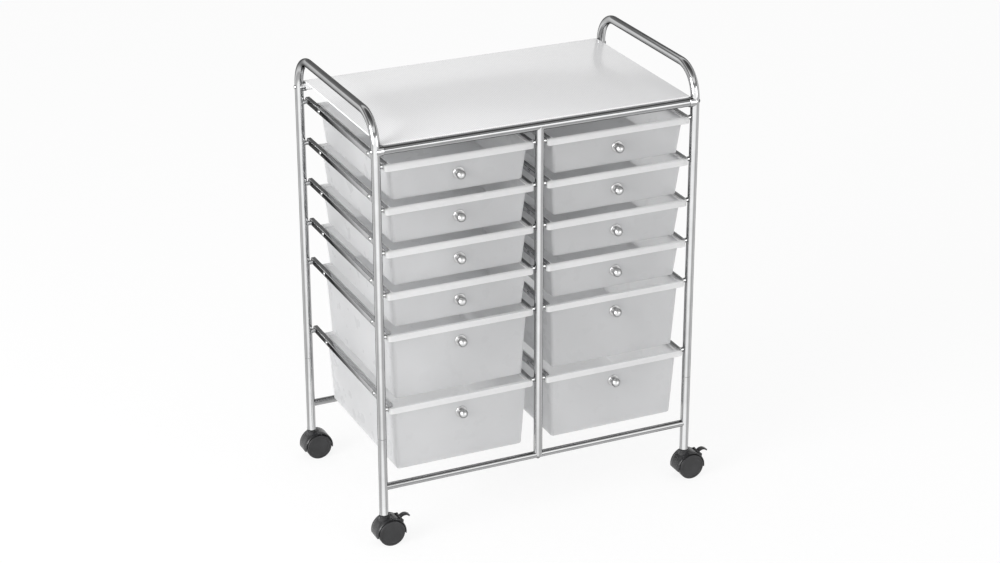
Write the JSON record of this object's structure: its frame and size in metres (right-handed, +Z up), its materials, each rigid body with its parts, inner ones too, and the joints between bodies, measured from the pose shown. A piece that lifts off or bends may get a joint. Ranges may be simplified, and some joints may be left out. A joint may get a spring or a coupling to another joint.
{
  "type": "utility cart",
  "caption": "Rolling utility cart with a tubular frame, panel top, side handles, two columns of sliding drawers and lockable swivel casters",
  "frame": {"origin": "on the floor, under the middle of the whole cart's box seen from above", "axes": "+X to the cart's right seen from the front, +Y to the back, +Z up"},
  "size_m": [0.6882, 0.413, 0.828],
  "materials": {
    "chrome": "polished chrome plate on steel tube and sheet",
    "steel": "plain steel pins",
    "panel": "glossy white with a very fine surface grid",
    "bin": "frosted translucent moulded plastic",
    "caster": "moulded black plastic",
    "wheel": "hard black plastic with a slight sheen"
  },
  "bodies": {
    "frame": {"hoop_left": "chrome", "hoop_right": "chrome", "leg_front_left": "chrome", "leg_front_right": "chrome", "leg_rear_left": "chrome", "leg_rear_right": "chrome", "post_centre_front": "chrome", "post_centre_rear": "chrome", "shelf_bar_front": "chrome", "shelf_bar_rear": "chrome", "bottom_bar_front": "chrome", "bottom_bar_rear": "chrome", "top_panel": "panel", "runners_left": "chrome", "runners_centre": "chrome", "runners_right": "chrome", "frame_fasteners": "chrome", "caster_sockets": "caster"},
    "caster_front_left": {"caster_front_left_housing": "caster", "caster_front_left_pins": "steel"},
    "caster_front_left_wheel_outer": {"caster_front_left_wheel_outer": "wheel"},
    "caster_front_left_wheel_inner": {"caster_front_left_wheel_inner": "wheel"},
    "caster_front_left_brake": {"caster_front_left_brake": "caster"},
    "caster_front_right": {"caster_front_right_housing": "caster", "caster_front_right_pins": "steel"},
    "caster_front_right_wheel_outer": {"caster_front_right_wheel_outer": "wheel"},
    "caster_front_right_wheel_inner": {"caster_front_right_wheel_inner": "wheel"},
    "caster_front_right_brake": {"caster_front_right_brake": "caster"},
    "caster_rear_left": {"caster_rear_left_housing": "caster", "caster_rear_left_pins": "steel"},
    "caster_rear_left_wheel_outer": {"caster_rear_left_wheel_outer": "wheel"},
    "caster_rear_left_wheel_inner": {"caster_rear_left_wheel_inner": "wheel"},
    "caster_rear_right": {"caster_rear_right_housing": "caster", "caster_rear_right_pins": "steel"},
    "caster_rear_right_wheel_outer": {"caster_rear_right_wheel_outer": "wheel"},
    "caster_rear_right_wheel_inner": {"caster_rear_right_wheel_inner": "wheel"},
    "drawer_left_1": {"drawer_left_1": "bin", "knob_left_1": "chrome"},
    "drawer_left_2": {"drawer_left_2": "bin", "knob_left_2": "chrome"},
    "drawer_left_3": {"drawer_left_3": "bin", "knob_left_3": "chrome"},
    "drawer_left_4": {"drawer_left_4": "bin", "knob_left_4": "chrome"},
    "drawer_left_5": {"drawer_left_5": "bin", "knob_left_5": "chrome"},
    "drawer_left_6": {"drawer_left_6": "bin", "knob_left_6": "chrome"},
    "drawer_right_1": {"drawer_right_1": "bin", "knob_right_1": "chrome"},
    "drawer_right_2": {"drawer_right_2": "bin", "knob_right_2": "chrome"},
    "drawer_right_3": {"drawer_right_3": "bin", "knob_right_3": "chrome"},
    "drawer_right_4": {"drawer_right_4": "bin", "knob_right_4": "chrome"},
    "drawer_right_5": {"drawer_right_5": "bin", "knob_right_5": "chrome"},
    "drawer_right_6": {"drawer_right_6": "bin", "knob_right_6": "chrome"}
  },
  "joints": [
    {"name": "caster_front_left_swivel", "type": "hinge", "parent": "frame", "child": "caster_front_left", "pos_m": [-0.32414, -0.1875, 0.059], "axis": [0, 0, 1], "continuous": true},
    {"name": "caster_front_left_wheel_outer_spin", "type": "hinge", "parent": "caster_front_left", "child": "caster_front_left_wheel_outer", "pos_m": [-0.31514, -0.1875, 0.025], "axis": [0, 1, 0], "continuous": true},
    {"name": "caster_front_left_wheel_inner_spin", "type": "hinge", "parent": "caster_front_left", "child": "caster_front_left_wheel_inner", "pos_m": [-0.31514, -0.1875, 0.025], "axis": [0, 1, 0], "continuous": true},
    {"name": "caster_front_left_brake_press", "type": "hinge", "parent": "caster_front_left", "child": "caster_front_left_brake", "pos_m": [-0.29428, -0.1875, 0.04514], "axis": [0, 1, 0], "range_deg": [0, 22]},
    {"name": "caster_front_right_swivel", "type": "hinge", "parent": "frame", "child": "caster_front_right", "pos_m": [0.29386, -0.1875, 0.059], "axis": [0, 0, 1], "continuous": true},
    {"name": "caster_front_right_wheel_outer_spin", "type": "hinge", "parent": "caster_front_right", "child": "caster_front_right_wheel_outer", "pos_m": [0.30286, -0.1875, 0.025], "axis": [0, 1, 0], "continuous": true},
    {"name": "caster_front_right_wheel_inner_spin", "type": "hinge", "parent": "caster_front_right", "child": "caster_front_right_wheel_inner", "pos_m": [0.30286, -0.1875, 0.025], "axis": [0, 1, 0], "continuous": true},
    {"name": "caster_front_right_brake_press", "type": "hinge", "parent": "caster_front_right", "child": "caster_front_right_brake", "pos_m": [0.32372, -0.1875, 0.04514], "axis": [0, 1, 0], "range_deg": [0, 22]},
    {"name": "caster_rear_left_swivel", "type": "hinge", "parent": "frame", "child": "caster_rear_left", "pos_m": [-0.32414, 0.1875, 0.059], "axis": [0, 0, 1], "continuous": true},
    {"name": "caster_rear_left_wheel_outer_spin", "type": "hinge", "parent": "caster_rear_left", "child": "caster_rear_left_wheel_outer", "pos_m": [-0.31514, 0.1875, 0.025], "axis": [0, 1, 0], "continuous": true},
    {"name": "caster_rear_left_wheel_inner_spin", "type": "hinge", "parent": "caster_rear_left", "child": "caster_rear_left_wheel_inner", "pos_m": [-0.31514, 0.1875, 0.025], "axis": [0, 1, 0], "continuous": true},
    {"name": "caster_rear_right_swivel", "type": "hinge", "parent": "frame", "child": "caster_rear_right", "pos_m": [0.29386, 0.1875, 0.059], "axis": [0, 0, 1], "continuous": true},
    {"name": "caster_rear_right_wheel_outer_spin", "type": "hinge", "parent": "caster_rear_right", "child": "caster_rear_right_wheel_outer", "pos_m": [0.30286, 0.1875, 0.025], "axis": [0, 1, 0], "continuous": true},
    {"name": "caster_rear_right_wheel_inner_spin", "type": "hinge", "parent": "caster_rear_right", "child": "caster_rear_right_wheel_inner", "pos_m": [0.30286, 0.1875, 0.025], "axis": [0, 1, 0], "continuous": true},
    {"name": "drawer_left_1_slide", "type": "slide", "parent": "frame", "child": "drawer_left_1", "axis": [0, -1, 0], "range_m": [0, 0.24]},
    {"name": "drawer_left_2_slide", "type": "slide", "parent": "frame", "child": "drawer_left_2", "axis": [0, -1, 0], "range_m": [0, 0.24]},
    {"name": "drawer_left_3_slide", "type": "slide", "parent": "frame", "child": "drawer_left_3", "axis": [0, -1, 0], "range_m": [0, 0.24]},
    {"name": "drawer_left_4_slide", "type": "slide", "parent": "frame", "child": "drawer_left_4", "axis": [0, -1, 0], "range_m": [0, 0.24]},
    {"name": "drawer_left_5_slide", "type": "slide", "parent": "frame", "child": "drawer_left_5", "axis": [0, -1, 0], "range_m": [0, 0.24]},
    {"name": "drawer_left_6_slide", "type": "slide", "parent": "frame", "child": "drawer_left_6", "axis": [0, -1, 0], "range_m": [0, 0.24]},
    {"name": "drawer_right_1_slide", "type": "slide", "parent": "frame", "child": "drawer_right_1", "axis": [0, -1, 0], "range_m": [0, 0.24]},
    {"name": "drawer_right_2_slide", "type": "slide", "parent": "frame", "child": "drawer_right_2", "axis": [0, -1, 0], "range_m": [0, 0.24]},
    {"name": "drawer_right_3_slide", "type": "slide", "parent": "frame", "child": "drawer_right_3", "axis": [0, -1, 0], "range_m": [0, 0.24]},
    {"name": "drawer_right_4_slide", "type": "slide", "parent": "frame", "child": "drawer_right_4", "axis": [0, -1, 0], "range_m": [0, 0.24]},
    {"name": "drawer_right_5_slide", "type": "slide", "parent": "frame", "child": "drawer_right_5", "axis": [0, -1, 0], "range_m": [0, 0.24]},
    {"name": "drawer_right_6_slide", "type": "slide", "parent": "frame", "child": "drawer_right_6", "axis": [0, -1, 0], "range_m": [0, 0.24]}
  ]
}
